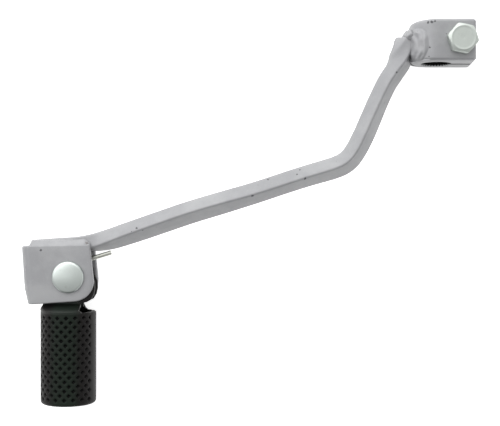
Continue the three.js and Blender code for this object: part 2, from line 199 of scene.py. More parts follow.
class Paint:
    """One material's node tree."""

    def __init__(self, name):
        self.material = bpy.data.materials.new(name)
        self.material.use_nodes = True
        self.tree = self.material.node_tree
        self.shader = self.tree.nodes["Principled BSDF"]
        self.place = self.node("ShaderNodeTexCoord", {}, {}, "Object")

    def node(self, kind, settings, values, output=0):
        made = self.tree.nodes.new(kind)
        for key, setting in settings.items():
            setattr(made, key, setting)
        for key, value in values.items():
            self.feed(made.inputs[key], value)
        return Value(self, made.outputs[output])

    def feed(self, socket, value):
        if isinstance(value, Value):
            self.tree.links.new(value.socket, socket)
        else:
            socket.default_value = value

    def set(self, name, value):
        self.feed(self.shader.inputs[name], value)

    def noise(self, scale, detail=2.0, roughness=0.5, stretch=None):
        where = self.place
        if stretch is not None:
            where = self.node("ShaderNodeVectorMath", {"operation": "MULTIPLY"}, {0: where, 1: stretch})
        return self.node(
            "ShaderNodeTexNoise", {},
            {"Vector": where, "Scale": scale, "Detail": detail, "Roughness": roughness},
        )

    def between(self, value, low, high):
        """0 below low, 1 above high, smooth between."""
        return self.node(
            "ShaderNodeMapRange", {"interpolation_type": "SMOOTHSTEP"},
            {"Value": value, "From Min": low, "From Max": high, "To Min": 0.0, "To Max": 1.0},
        )

    def mix(self, factor, first, second):
        """first where factor is 0, second where it is 1."""
        return self.node(
            "ShaderNodeMix", {"data_type": "RGBA", "clamp_factor": True},
            {0: factor, 6: first, 7: second}, 2,
        )

    def spot(self, centre, radius):
        """1 near a point given in millimetres, with a ragged edge."""
        point = tuple(c * MM for c in centre)
        away = self.node("ShaderNodeVectorMath", {"operation": "DISTANCE"}, {0: self.place, 1: point}, 1)
        ragged = away + (self.noise(1400.0, 3.0) - 0.5) * (radius * MM * 1.6)
        return 1 - self.between(ragged, radius * MM * 0.55, radius * MM)

    def bump(self, height, distance, strength=1.0):
        self.set("Normal", self.node(
            "ShaderNodeBump", {}, {"Height": height, "Distance": distance, "Strength": strength},
        ))


def color(red, green, blue):
    return (red, green, blue, 1.0)


def silver_paint(name, chips=(), rust=(), weld=0.0):
    """Satin silver-grey paint with orange peel, dust, and chips down to dark steel."""
    paint = Paint(name)
    cloud = paint.noise(60.0, 4.0)
    speck = paint.noise(2600.0, 2.0)
    shade = paint.between(cloud + paint.noise(260.0, 3.0) * 0.5, 0.55, 0.95)
    tone = paint.mix(shade, color(0.335, 0.338, 0.350), color(0.392, 0.396, 0.405))
    tone = paint.mix(paint.between(speck, 0.6, 0.75) * 0.35, tone, color(0.48, 0.48, 0.485))
    grime = paint.between(paint.noise(420.0, 5.0, 0.65), 0.62, 0.8) * 0.22
    tone = paint.mix(grime, tone, color(0.23, 0.23, 0.225))
    bare = paint.between(paint.noise(700.0, 1.0), 0.775, 0.8) * 0.6
    for centre, radius in chips:
        bare = paint.node(
            "ShaderNodeMath", {"operation": "MAXIMUM"}, {0: bare, 1: paint.spot(centre, radius)},
        )
    tone = paint.mix(bare * 0.85, tone, color(0.075, 0.075, 0.08))
    for centre, radius in rust:
        tone = paint.mix(paint.spot(centre, radius) * 0.7, tone, color(0.17, 0.145, 0.135))
    paint.set("Base Color", tone)
    paint.set("Roughness", 0.4 + cloud * 0.1 + bare * 0.25)
    paint.set("Metallic", 0.25)
    peel = paint.noise(520.0, 2.0) * 0.6 + paint.noise(150.0, 2.0) * (0.7 + weld)
    paint.bump(peel - bare * 0.8, 0.00012 + 0.0001 * weld, 0.5)
    return paint.material


def zinc_plate(name, tint, rough=0.26):
    """Bright zinc plate: a pale metal with a faint passivation tint and fine handling marks."""
    paint = Paint(name)
    cloud = paint.noise(160.0, 3.0)
    dull = color(*(0.94 * channel for channel in tint))
    bright = color(*(1.06 * channel for channel in tint))
    stain = paint.between(paint.noise(380.0, 4.0, 0.6), 0.58, 0.75)
    tone = paint.mix(stain * 0.3, paint.mix(cloud, dull, bright), color(0.42, 0.43, 0.40))
    paint.set("Base Color", tone)
    paint.set("Metallic", 1.0)
    scratch = paint.noise(900.0, 2.0, 0.5, (1.0, 0.12, 1.0))
    paint.set("Roughness", rough + stain * 0.14 + (scratch - 0.5) * 0.12)
    paint.bump(paint.noise(260.0, 3.0) * 0.7 + scratch * 0.3, 0.00006, 0.4)
    return paint.material


def black_finish(name, dimples=False, gloss=0.14):
    """Black finish with a painted greenish sheen on the peg's broad faces and a painted browner
    reflection round its sides, a little dusty; with dimples, painted black shade in the dimples.
    """
    paint = Paint(name)
    cloud = paint.noise(120.0, 4.0)
    across = paint.node("ShaderNodeSeparateXYZ", {}, {0: paint.place}, "X")
    # Painted sheen and reflection: greenish where the surface lies near the peg's axis in X, browner
    # towards its sides.
    side = paint.between(abs(across - PEG_X * MM) + cloud * 0.002, 0.004, 0.0075)
    face = paint.mix(cloud, color(0.009, 0.0125, 0.0095), color(0.013, 0.021, 0.0145))
    tone = paint.mix(side, face, color(0.0085, 0.0075, 0.0072))
    dust = paint.between(paint.noise(900.0, 4.0, 0.65), 0.62, 0.82)
    tone = paint.mix(dust * 0.3, tone, color(0.035, 0.03, 0.03))
    # Painted shade: the dimples' depth darkens the base colour to black in the hollows.
    if dimples:
        dimple_shade = paint.node("ShaderNodeAttribute", {"attribute_name": "dimple_shade"}, {}, "Fac")
        tone = paint.mix(dimple_shade, tone, color(0.0, 0.0, 0.0))
    paint.set("Base Color", tone)
    paint.set("Specular IOR Level", gloss)
    paint.set("Roughness", 0.4 + cloud * 0.14 + dust * 0.12)
    paint.bump(paint.noise(1100.0, 3.0) * 0.6 + paint.noise(260.0, 2.0) * 0.5, 0.0001, 0.5)
    return paint.material


# ---------------------------------------------------------------- mesh helpers


def piece(name, points, faces, material, body, replaces=(), crease=38):
    """A closed mesh from points in millimetres, riding on a body."""
    mesh = bpy.data.meshes.new(name)
    mesh.from_pydata([tuple(c * MM for c in p) for p in points], [], faces)
    mesh.validate()
    made = bpy.data.objects.new(name, mesh)
    bpy.context.scene.collection.objects.link(made)
    finish(made, material, crease)
    if body is not None:
        settle(made, body, replaces)
    return made


def finish(made, material, crease):
    mesh = made.data
    work = bmesh.new()
    work.from_mesh(mesh)
    bmesh.ops.recalc_face_normals(work, faces=work.faces)
    work.to_mesh(mesh)
    work.free()
    mesh.materials.clear()
    mesh.materials.append(material)
    mesh.shade_smooth()
    mesh.set_sharp_from_angle(angle=math.radians(crease))


def settle(made, body, replaces):
    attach(made, body)
    if replaces:
        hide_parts(*replaces)


def loft(rings):
    """Points and faces of a body through equal rings, closed by a fan at each end."""
    count = len(rings[0])
    points = [p for ring in rings for p in ring]
    faces = []
    for r in range(len(rings) - 1):
        for k in range(count):
            a = r * count + k
            b = r * count + (k + 1) % count
            faces.append((a, b, b + count, a + count))
    for start, ring in ((0, rings[0]), ((len(rings) - 1) * count, rings[-1])):
        middle = len(points)
        points.append(tuple(sum(p[i] for p in ring) / count for i in range(3)))
        faces += [(start + k, start + (k + 1) % count, middle) for k in range(count)]
    return points, faces


def curve_through(stations, count):
    """Smooth values through rows of numbers, evenly spaced along the first two as x and y."""
    rows = np.array(stations, float)
    step = np.hypot(*np.diff(rows[:, :2], axis=0).T)
    at = np.concatenate([[0], np.cumsum(step)])
    slope = np.gradient(rows, at, axis=0)
    spots = np.linspace(0, at[-1], count)
    k = np.clip(np.searchsorted(at, spots, side="right") - 1, 0, len(at) - 2)
    width = (at[k + 1] - at[k])[:, None]
    t = ((spots - at[k]) / width[:, 0])[:, None]
    return (
        rows[k] * (1 + 2 * t) * (1 - t) ** 2
        + slope[k] * width * t * (1 - t) ** 2
        + rows[k + 1] * t * t * (3 - 2 * t)
        + slope[k + 1] * width * t * t * (t - 1)
    )


def rounded_box(half_a, half_b, radius, steps=5):
    """Points of a rounded rectangle, counterclockwise."""
    points = []
    for quarter, (a, b) in enumerate([(1, 1), (-1, 1), (-1, -1), (1, -1)]):
        for k in range(steps + 1):
            angle = (quarter + k / steps) * TURN / 4
            points.append((
                a * (half_a - radius) + radius * math.cos(angle),
                b * (half_b - radius) + radius * math.sin(angle),
            ))
    return points


def edge_inset(distance, radius):
    """How far a round edge of this radius drops at a distance from the boundary."""
    if distance >= radius:
        return 0.0
    return radius - math.sqrt(max(radius**2 - (radius - distance) ** 2, 0.0))


def spread(low, high, edge, middle):
    """Numbers from low to high, close together within edge of each end."""
    ease = [edge * (1 - math.cos(k * TURN / 4 / 5)) for k in range(5)]
    inner = np.linspace(low + edge, high - edge, middle)
    return [low + e for e in ease] + list(inner) + [high - e for e in reversed(ease)]


def from_bracket(x, y, z):
    """A point of the bracket's tilted frame, in the lever's."""
    c, s = math.cos(BRACKET_TILT), math.sin(BRACKET_TILT)
    return (PIVOT[0] + x * c - y * s, PIVOT[1] + x * s + y * c, z)


# ---------------------------------------------------------------- hub, bolt and weld


def side_height(x):
    """The height of the hub's upper side at x: the barrel's curve easing into the flat."""
    barrel = HUB_R if x > 0 else math.sqrt(HUB_R**2 - x * x)
    ease = 0.15
    return -ease * math.log(math.exp(-barrel / ease) + math.exp(-HUB_HALF_THICKNESS / ease))


def hub_side(sign, end_x):
    """Points and normals along one side of the hub, from the barrel to the middle of its end."""
    corner = HUB_CORNER
    side = []
    for x in np.linspace(BARREL_FROM_X, end_x - corner, 30):
        slope = (side_height(x + 0.01) - side_height(x - 0.01)) / 0.02
        length = math.hypot(slope, 1.0)
        side.append((x, sign * side_height(x), -slope / length, sign / length))
    for k in range(1, 10):
        angle = (1 - k / 9) * TURN / 4
        nx, nz = math.cos(angle), math.sin(angle)
        x = end_x - corner + corner * nx
        z = HUB_HALF_THICKNESS - corner + corner * nz
        side.append((x, sign * z, nx, sign * nz))
    return side


def hub_ring(y, drop_at):
    """The hub's outline in X and Z at one y, pulled in by its rounded end."""
    meet = math.asin(side_height(BARREL_FROM_X) / HUB_R)
    outline = []
    for k in range(41):
        angle = math.pi - meet + k * 2 * meet / 40
        nx, nz = math.cos(angle), math.sin(angle)
        outline.append((HUB_R * nx, HUB_R * nz, nx, nz))
    outline += hub_side(-1, HUB_REAR_END_X)[1:] + list(reversed(hub_side(1, HUB_END_X)[1:]))
    ring = []
    for x, z, nx, nz in outline:
        drop = drop_at(x)
        ring.append((x - nx * drop, y, z - nz * drop))
    return ring


def hub_block():
    rings = []
    for y in spread(-HUB_HALF_WIDTH, HUB_HALF_WIDTH, 1.2, 9):
        gap = HUB_HALF_WIDTH - abs(y)

        def drop_at(x):
            round_edge = 1.15 + 1.7 * min(max(-x / HUB_R, 0.0), 1.0) ** 2
            return edge_inset(gap, round_edge)

        rings.append(hub_ring(y, drop_at))
    return loft(rings)


def cut(target, cutters):
    """Subtracts each cutter from target and removes it."""
    for cutter in cutters:
        tool = target.modifiers.new("cut", "BOOLEAN")
        tool.operation = "DIFFERENCE"
        tool.solver = "EXACT"
        tool.object = cutter
    bpy.context.view_layer.update()
    graph = bpy.context.evaluated_depsgraph_get()
    result = bpy.data.meshes.new_from_object(target.evaluated_get(graph))
    target.modifiers.clear()
    target.data = result
    for cutter in cutters:
        bpy.data.objects.remove(cutter, do_unlink=True)


def tool(name, rings):
    """A cutter for the booleans, gone once it has cut."""
    points, faces = loft(rings)
    return piece(name, points, faces, scrap, None)


def spline_rings():
    rings = []
    for y in (-HUB_HALF_WIDTH - 3, HUB_HALF_WIDTH + 3):
        ring = []
        for k in range(4 * SPLINE_TEETH):
            radius = (BORE_TIP_R, BORE_TIP_R, BORE_ROOT_R, BORE_ROOT_R)[k % 4]
            shift = (0.1, -0.1, 0.12, -0.12)[k % 4]
            angle = (k + shift) * TURN / (4 * SPLINE_TEETH)
            ring.append((radius * math.cos(angle), y, radius * math.sin(angle)))
        rings.append(ring)
    return rings


def mouth_rings(side):
    """A cone that takes the sharp edge off the bore's mouth."""
    near, far = HUB_HALF_WIDTH - 0.45, HUB_HALF_WIDTH + 0.3
    rings = []
    for y, radius in ((near, BORE_TIP_R - 0.1), (far, BORE_ROOT_R + 0.2)):
        rings.append([
            (radius * math.cos(angle), side * y, radius * math.sin(angle))
            for angle in (k * TURN / 60 for k in range(60))
        ])
    return rings


def slot_rings():
    rings = []
    for x in (BORE_TIP_R - 1.0, HUB_END_X + 3):
        rings.append([
            (x, y, z)
            for y, z in ((-10.0, -SLOT_HALF), (10.0, -SLOT_HALF), (10.0, SLOT_HALF), (-10.0, SLOT_HALF))
        ])
    return rings


def bolt_hole_rings():
    rings = []
    for z in (-12.0, 12.0):
        rings.append([
            (BOLT_X + BOLT_HOLE_R * math.cos(angle), BOLT_HOLE_R * math.sin(angle), z)
            for angle in (k * TURN / 40 for k in range(40))
        ])
    return rings


def build_hub(material, recess_shade_material):
    points, faces = hub_block()
    hub = piece("hub", points, faces, material, None)
    cut(hub, [
        tool("bore_tool", spline_rings()),
        tool("mouth_tool_outer", mouth_rings(-1)),
        tool("mouth_tool_inner", mouth_rings(1)),
        tool("slot_tool", slot_rings()),
        tool("hole_tool", bolt_hole_rings()),
    ])
    hub.data.materials.append(recess_shade_material)
    # Faces inside the bore and the slot take the black material: painted shade in these recesses.
    for face in hub.data.polygons:
        x, y, z = (c / MM for c in face.center)
        in_bore = math.hypot(x, z) < BORE_ROOT_R + 0.1 and abs(y) < HUB_HALF_WIDTH - 0.5
        in_slot = x > BORE_TIP_R and abs(z) < SLOT_HALF + 0.02 and x < HUB_END_X - 0.3
        if in_bore or in_slot:
            face.material_index = 1
    hub.data.shade_smooth()
    hub.data.set_sharp_from_angle(angle=math.radians(32))
    normals = hub.modifiers.new("normals", "WEIGHTED_NORMAL")
    normals.keep_sharp = True
    settle(hub, "lever", ("hub_clamp",))


def bolt_head_rings():
    """Rings from the centre of the head's face out over the chamfer and down the flats."""
    bottom, top = HUB_HALF_THICKNESS, HUB_HALF_THICKNESS + BOLT_HEAD_HEIGHT
    count = 144
    angles = [k * TURN / count for k in range(count)]

    def hexagon(angle):
        """The head's radius at an angle, its corners turned off smoothly."""
        local = (angle - BOLT_HEAD_TURN + TURN / 12) % (TURN / 6) - TURN / 12
        reach = BOLT_HEAD_FLAT / math.cos(TURN / 12 - abs(local))
        limit, ease = BOLT_HEAD_CORNER, 0.12
        if reach < limit - ease:
            return reach
        return limit - ease * math.exp(-(reach - limit + ease) / ease)

    def face_height(radius):
        dimple = 0.05 * math.exp(-((radius / 0.6) ** 2))
        rise = 0.07 * min(max((radius - 3.7) / 0.5, 0.0), 1.0)
        chamfer = max(radius - 4.35, 0.0) * math.tan(math.radians(30))
        return top - 0.07 - dimple + rise - chamfer

    rings = []
    for radius in (0.15, 0.4, 0.7, 1.0, 1.4, 2.0, 2.8, 3.5, 3.7, 3.9, 4.1, 4.25, 4.35, 4.5, 4.7, 4.9):
        rings.append([(radius, face_height(radius)) for _ in angles])
    for inset, lower in ((0.10, 0.0), (0.03, 0.04), (0.0, 0.14)):
        rings.append([
            (hexagon(a) - inset, face_height(hexagon(a)) - lower) for a in angles
        ])
    rings.append([(hexagon(a), bottom + 0.5) for a in angles])
    rings.append([(hexagon(a), bottom + 0.12) for a in angles])
    rings.append([(hexagon(a) - 0.12, bottom + 0.01) for a in angles])
    return [
        [(BOLT_X + r * math.cos(a), r * math.sin(a), z) for a, (r, z) in zip(angles, ring)]
        for ring in rings
    ]


def thread_rings():
    """A screw thread, cut into the shank below the head."""
    count = 36
    rings = []
    for z in np.arange(-HUB_HALF_THICKNESS, HUB_HALF_THICKNESS - 0.2, 0.125):
        fade = min(max((z + HUB_HALF_THICKNESS) / 0.8, 0.25), 1.0)
        ring = []
        for k in range(count):
            turn = (z - k / count) % 1.0
            depth = THREAD_DEPTH * (1 - abs(2 * turn - 1))
            radius = (BOLT_R - depth) * (0.86 + 0.14 * fade)
            angle = k * TURN / count
            ring.append((BOLT_X + radius * math.cos(angle), radius * math.sin(angle), z))
        rings.append(ring)
    return rings


def build_bolt(material):
    head, head_faces = loft(bolt_head_rings())
    shank, shank_faces = loft(thread_rings())
    shift = len(head)
    points = head + shank
    faces = head_faces + [tuple(i + shift for i in face) for face in shank_faces]
    piece("bolt", points, faces, material, "lever", ("pinch_bolt",), 34)


def build_hub_weld(side, material):
    """A low rippled patch of weld that runs up the barrel from the arm's end."""
    middle, reach_round = math.radians(141), math.radians(28)
    centre_y, reach_along = -1.4, 6.1
    heart = (-15.0, -1.5)
    count = 80
    rings = []
    for i in range(count + 1):
        u = 2 * i / count - 1
        angle = middle + u * reach_round
        face, back = [], []
        for k in range(count + 1):
            v = 2 * k / count - 1
            x, y = HUB_R * math.cos(angle), centre_y + v * reach_along
            inside = max(1 - (u * u) ** 1.2 - (v * v) ** 1.2, 0.0)
            wander = noise.noise(Vector((x * 0.22, y * 0.22, 3.0 + side))) * 1.4
            ripple = math.sin(TURN * (math.hypot((x - heart[0]) * 1.1, y - heart[1]) + wander) / 1.75)
            lump = noise.noise(Vector((x * 0.4, y * 0.4, 7.0)))
            rise = min(inside * 1.6, 1.0) ** 0.75
            radius = HUB_R - 0.3 + rise * (1.15 + 0.14 * ripple + 0.22 * lump)
            face.append((radius * math.cos(angle), y, side * radius * math.sin(angle)))
            back.append(((HUB_R - 0.9) * math.cos(angle), y, side * (HUB_R - 0.9) * math.sin(angle)))
        rings.append(face + list(reversed(back)))
    points, faces = loft(rings)
    suffix = "top" if side > 0 else "bottom"
    piece(
        "hub_puddle_" + suffix, points, faces, material, "lever",
        ("hub_weld_" + suffix,), 60,
    )


def build_end_fill(material):
    """The weld that closes the corner between the arm's upper end and the barrel."""
    centre, radii = (-10.0, 2.2, 0.0), (2.4, 2.7, 5.6)
    rings = []
    for i in range(1, 32):
        polar = i * math.pi / 32
        ring = []
        for k in range(48):
            angle = k * TURN / 48
            ux, uy = math.sin(polar) * math.cos(angle), math.sin(polar) * math.sin(angle)
            uz = math.cos(polar)
            swell = 1 + 0.1 * noise.noise(Vector((ux * 1.7, uy * 1.7, uz * 3.0)))
            ring.append(tuple(c + r * u * swell for c, r, u in zip(centre, radii, (ux, uy, uz))))
        rings.append(ring)
    points, faces = loft(rings)
    piece("hub_end_fill", points, faces, material, "lever", (), 60)


# ---------------------------------------------------------------- arm

# Centre x and y, and the section's roll about the bar's length in degrees.
ARM_STATIONS = [
    (-149.5, -75.5, 0),
    (-139, -74.8, 0),
    (-131, -74.25, -3),
    (-126, -73.75, -13),
    (-121, -72.65, -22),
    (-113.6, -70.3, -28),
    (-103, -66.7, -30),
    (-91.3, -62.7, -30),
    (-80, -59.3, -29),
    (-69, -56, -25),
    (-46.7, -48.8, -24),
    (-41.5, -47.3, -25),
    (-37.6, -46.1, -26),
    (-34.2, -44.6, -27),
    (-31.8, -42.6, -28),
    (-29.8, -39.8, -28),
    (-27, -34.5, -29),
    (-24.2, -28.1, -28),
    (-20.9, -20.4, -25),
    (-18, -14.5, -24),
    (-14.85, -9.6, -24),
    (-13.4, -6.5, -21),
    (-12.8, -3.7, -12),
    (-12.3, -0.8, -5),
    (-12.0, 1.9, -2),
]


def smooth(value, low, high):
    """0 below low, 1 above high, smooth between."""
    share = min(max((value - low) / (high - low), 0.0), 1.0)
    return share * share * (3 - 2 * share)


def arm_section(y, inset):
    """The bar's section: forged thicker at its upper end, and bevelled on its forward top corner."""
    swell = END_SWELL * smooth(y, -11, -5) - END_TAPER * smooth(y, -3, 2)
    half_thick, half_deep = (BAR_THICKNESS + swell) / 2 - inset, BAR_DEPTH / 2 - inset
    radius = max(BAR_CORNER - inset * 0.6, 0.3)
    corners = rounded_box(half_thick, half_deep, radius)
    top = [((half_thick - radius) * (1 - k / 3.5), half_deep) for k in range(1, 7)]
    side = [(half_thick, (half_deep - radius) * (k / 3.5 - 1)) for k in range(1, 7)]
    section = corners[:6] + top + corners[6:] + side
    slope = math.atan2(BEVEL_WIDTH, BEVEL_DROP)
    facing = (math.cos(slope), math.sin(slope))
    grown = (y - BEVEL_FROM_Y) / (ARM_STATIONS[-1][1] - BEVEL_FROM_Y)
    cut_back = BEVEL_WIDTH * facing[0] * min(max(grown, 0.0), 1.0)
    limit = half_thick * facing[0] + half_deep * facing[1] - cut_back
    bevelled = []
    for u, v in section:
        over = max(u * facing[0] + v * facing[1] - limit, 0.0)
        bevelled.append((u - over * facing[0], v - over * facing[1]))
    return bevelled


def arm_ring(row, along, inset):
    x, y, roll = row
    roll = math.radians(roll)
    across = Vector((-along.y, along.x, 0))
    up = Vector((0, 0, 1))
    thick = across * math.cos(roll) + up * math.sin(roll)
    deep = up * math.cos(roll) - across * math.sin(roll)
    centre = Vector((x, y, 0))
    return [tuple(centre + thick * u + deep * v) for u, v in arm_section(y, inset)]


def arm_cap(row, along, sign):
    """Rings that round off one end of the bar, out to the end itself."""
    x, y, roll = row
    caps = []
    for k in range(5):
        angle = k / 4 * TURN / 4
        inset = BAR_END_EDGE * (1 - math.cos(angle))
        back = sign * BAR_END_EDGE * (1 - math.sin(angle))
        caps.append(arm_ring((x - along.x * back, y - along.y * back, roll), along, inset))
    return caps


def build_arm(material):
    rows = curve_through(ARM_STATIONS, 190)
    slopes = np.gradient(rows[:, :2], axis=0)
    slopes /= np.linalg.norm(slopes, axis=1)[:, None]
    heading = [Vector((*slope, 0)) for slope in slopes]
    lower = list(reversed(arm_cap(rows[0], heading[0], -1)))
    middle = [arm_ring(row, way, 0.0) for row, way in zip(rows[1:-1], heading[1:-1])]
    upper = arm_cap(rows[-1], heading[-1], 1)
    points, faces = loft(lower + middle + upper)
    piece("arm_bar", points, faces, material, "lever", ("arm",), 60)


# ---------------------------------------------------------------- bracket and its welds


def plate_limits(x):
    """The lowest and highest y of a bracket plate at x, in the bracket's frame."""
    top = TOP + 0.3 - 1.1 * (x - LEFT) / (RIGHT - LEFT)
    low = BOTTOM
    centre = RIGHT - BRACKET_CORNER_R
    if x > centre:
        rise = math.sqrt(max(BRACKET_CORNER_R**2 - (x - centre) ** 2, 0.0))
        low = BOTTOM + BRACKET_CORNER_R - rise
    return low, top


def plate_distance(x, y):
    """How far inside the plate's outline a point lies."""
    low, top = plate_limits(x)
    centre_x, centre_y = RIGHT - BRACKET_CORNER_R, BOTTOM + BRACKET_CORNER_R
    inside = min(RIGHT - x, top - y, y - BOTTOM)
    if x > centre_x and y < centre_y:
        inside = min(inside, BRACKET_CORNER_R - math.hypot(x - centre_x, y - centre_y))
    return max(inside, 0.0)


def bracket_ring(x, place):
    """One strip of the folded sheet: its outer face down, then its inner face up."""
    edge = 0.5
    low, top = plate_limits(x)
    rows = spread(low, top, min(edge, (top - low) / 3), 9)
    outer, inner = [], []
    for y in rows:
        drop = edge_inset(plate_distance(x, y), edge)
        half = BRACKET_SHEET / 2 - drop
        outer.append(place(y, half))
        inner.append(place(y, -half))
    return [from_bracket(*p) for p in outer + list(reversed(inner))]


def build_bracket(material):
    middle = BRACKET_HALF_DEPTH - BRACKET_SHEET / 2
    bend = BEND_R - BRACKET_SHEET / 2
    bend_x = LEFT + BEND_R
    columns = list(np.linspace(bend_x, RIGHT - BRACKET_CORNER_R, 8))
    steps = 16
    columns += [
        RIGHT - BRACKET_CORNER_R + BRACKET_CORNER_R * math.sin(k * TURN / 4 / steps)
        for k in range(1, steps)
    ]
    columns += [RIGHT - 0.02, RIGHT - 0.004]

    def lean(y):
        """The plate's right edge leans in a little towards its top."""
        return -0.5 * max(y - BOTTOM - BRACKET_CORNER_R, 0.0) / (TOP - BOTTOM - BRACKET_CORNER_R)

    def plate(side):
        made = []
        for x in columns:
            share = max(x - bend_x, 0.0) / (RIGHT - bend_x)
            made.append(bracket_ring(
                x, lambda y, t, x=x, share=share: (x + lean(y) * share, y, side * (middle + t)),
            ))
        return made

    def fold(side):
        made = []
        for k in range(1, 9):
            angle = k / 8 * TURN / 4

            def place(y, t, angle=angle):
                radius = bend + t
                pull = max(-3.0 - y, 0.0) * 0.16 * math.sin(angle)
                return (
                    bend_x - radius * math.sin(angle) + pull,
                    y,
                    side * (middle - bend + radius * math.cos(angle)),
                )

            made.append(bracket_ring(bend_x, place))
        return made

    front = list(reversed(plate(1))) + fold(1)
    rear = list(reversed(fold(-1))) + plate(-1)
    points, faces = loft(front + rear)
    piece("bracket_sheet", points, faces, material, "lever", ("bracket",), 50)


def build_bracket_weld(side, material):
    """A bead along the plate's top edge, up the side of the arm's end."""
    rings = []
    count = 150
    for k in range(count + 1):
        share = k / count
        x = LEFT + 3.0 + share * (RIGHT - LEFT - 3.5)
        ends = min(share * 14, (1 - share) * 10, 1.0)
        size = 0.3 + 0.7 * math.sin(ends * TURN / 4)
        top = plate_limits(x)[1]
        wave = 0.02 * math.sin(TURN * x / 1.5) + 0.12 * noise.noise(Vector((x * 0.35, side, 0.0)))
        ring = []
        for j in range(15):
            angle = j / 14 * TURN / 4
            reach = (2.0 + wave) * size
            bulge = 1.0 - 0.16 * math.sin(2 * angle)
            ring.append(from_bracket(
                x,
                top - 0.25 + (reach + 0.25) * math.sin(angle) * bulge,
                side * (4.2 + (2.7 + wave) * size * math.cos(angle) * bulge),
            ))
        ring.append(from_bracket(x, top - 0.3, side * 4.1))
        rings.append(ring)
    points, faces = loft(rings)
    suffix = "top" if side > 0 else "bottom"
    piece(
        "bracket_bead_" + suffix, points, faces, material, "lever",
        ("bracket_weld_" + suffix,), 60,
    )


# ---------------------------------------------------------------- pivot


def turned(profile):
    """Rings about the pivot from pairs of radius and z."""
    angles = [k * TURN / 96 for k in range(96)]
    return [
        [(PIVOT[0] + radius * math.cos(a), PIVOT[1] + radius * math.sin(a), z) for a in angles]
        for radius, z in profile
    ]


def build_rivet(material):
    seat = BRACKET_HALF_DEPTH
    tip, height = 0.6, 2.0
    profile = [(tip, seat + height)]
    dome, shoulder, rim = 21.0, 4.9, 0.95
    for k in range(1, 15):
        radius = tip + k * (shoulder - tip) / 14
        profile.append((radius, seat + height - dome + math.sqrt(dome**2 - radius**2)))
    tilt = math.asin(shoulder / dome)
    low = profile[-1][1] - rim * math.cos(tilt)
    for k in range(1, 9):
        angle = tilt + k / 8 * (TURN / 4 - tilt)
        radius = shoulder + rim * (math.sin(angle) - math.sin(tilt)) * 1.27
        profile.append((radius, low + rim * math.cos(angle)))
    profile += [(5.85, seat + 0.35), (5.78, seat + 0.12), (5.6, seat + 0.01)]
    profile += [(RIVET_R, seat), (RIVET_R, 0.0), (RIVET_R, -seat)]
    peened = [(3.9, 0.0), (4.15, 0.25), (4.15, 0.6), (3.9, 1.0)]
    peened += [(3.3, 1.3), (2.4, 1.42), (1.6, 1.3), (0.8, 1.25)]
    profile += [(radius, -seat - drop) for radius, drop in peened]
    points, faces = loft(turned(profile))
    piece("rivet", points, faces, material, "lever", ("pivot_rivet",), 45)


def spring_path():
    """The wire's centre line: a leg under the arm, the coil, and a leg down into the peg."""
    sweep = 2 * TURN + COIL_EXTRA
    steps = 84
    coil = []
    for k in range(steps + 1):
        angle = COIL_START + k / steps * sweep
        coil.append(Vector((
            PIVOT[0] + COIL_R * math.cos(angle),
            PIVOT[1] + COIL_R * math.sin(angle),
            COIL_HALF_DEPTH * (1 - 2 * k / steps),
        )))
    first = COIL_START - TURN / 4
    last = COIL_START + sweep + TURN / 4
    straight = (1.5, 4, 8, 12)
    upper_way = Vector((math.cos(first), math.sin(first), 0))
    lower_way = Vector((math.cos(last), math.sin(last), 0))
    upper = [coil[0] + upper_way * d for d in (UPPER_LEG, UPPER_LEG - 0.03, *reversed(straight))]
    lower = [coil[-1] + lower_way * d for d in (*straight, LOWER_LEG - 0.03, LOWER_LEG)]
    return upper + coil + lower


def build_spring(material):
    path = spring_path()
    rings = []
    for k, centre in enumerate(path):
        along = (path[min(k + 1, len(path) - 1)] - path[max(k - 1, 0)]).normalized()
        across = Vector((0, 0, 1)).cross(along).normalized()
        over = along.cross(across)
        wire = WIRE_R - (0.08 if k in (0, len(path) - 1) else 0.0)
        rings.append([
            tuple(centre + across * wire * math.cos(a) + over * wire * math.sin(a))
            for a in (j * TURN / 16 for j in range(16))
        ])
    points, faces = loft(rings)
    spring = piece("spring_wire", points, faces, material, None, crease=50)
    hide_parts("return_spring")
    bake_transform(spring)


# ---------------------------------------------------------------- foot peg


def dimple_depth(angle, y):
    """0 on the sheet's face, 1 in the middle of a diamond dimple."""
    along = 0.92 + PEG_R * (angle - TURN / 4) - math.tan(math.radians(1.4)) * (PEG_TOP_Y - y)
    row = (PEG_TOP_Y - 1.85 - y) / DIMPLE_ROW
    deepest = 0.0
    for r in (math.floor(row), math.floor(row) + 1):
        if not 0 <= r <= DIMPLE_LAST_ROW:
            continue
        shift = 0.5 * (r % 2)
        column = along / DIMPLE_PITCH - shift
        away = abs(column - round(column)) * DIMPLE_PITCH / 0.95 + abs(row - r) * DIMPLE_ROW / 0.92
        deepest = max(deepest, 1 - away)
    return min(deepest * 2.2, 1.0)


def tube_angles():
    """Angles round the tube from the seam to the seam, close together where it is dimpled."""
    gap = SEAM_HALF / PEG_R
    first, last = SEAM_ANGLE + gap, SEAM_ANGLE + TURN - gap
    angles = list(np.linspace(first, DIMPLED[0], 16, endpoint=False))
    angles += list(np.linspace(*DIMPLED, 208, endpoint=False))
    angles += list(np.linspace(DIMPLED[1], last, 10))
    return angles


def tube_rows():
    """Heights up the tube, close together at its rounded ends."""
    rows = [PEG_BOTTOM_Y + PEG_BOTTOM_EDGE * (1 - math.cos(k * TURN / 4 / 7)) for k in range(7)]
    rows += list(np.linspace(PEG_BOTTOM_Y + PEG_BOTTOM_EDGE, PEG_TOP_Y - PEG_TOP_EDGE, 150))
    rows += [PEG_TOP_Y - PEG_TOP_EDGE * math.cos(k * TURN / 4 / 3) for k in (1, 2, 3)]
    return rows


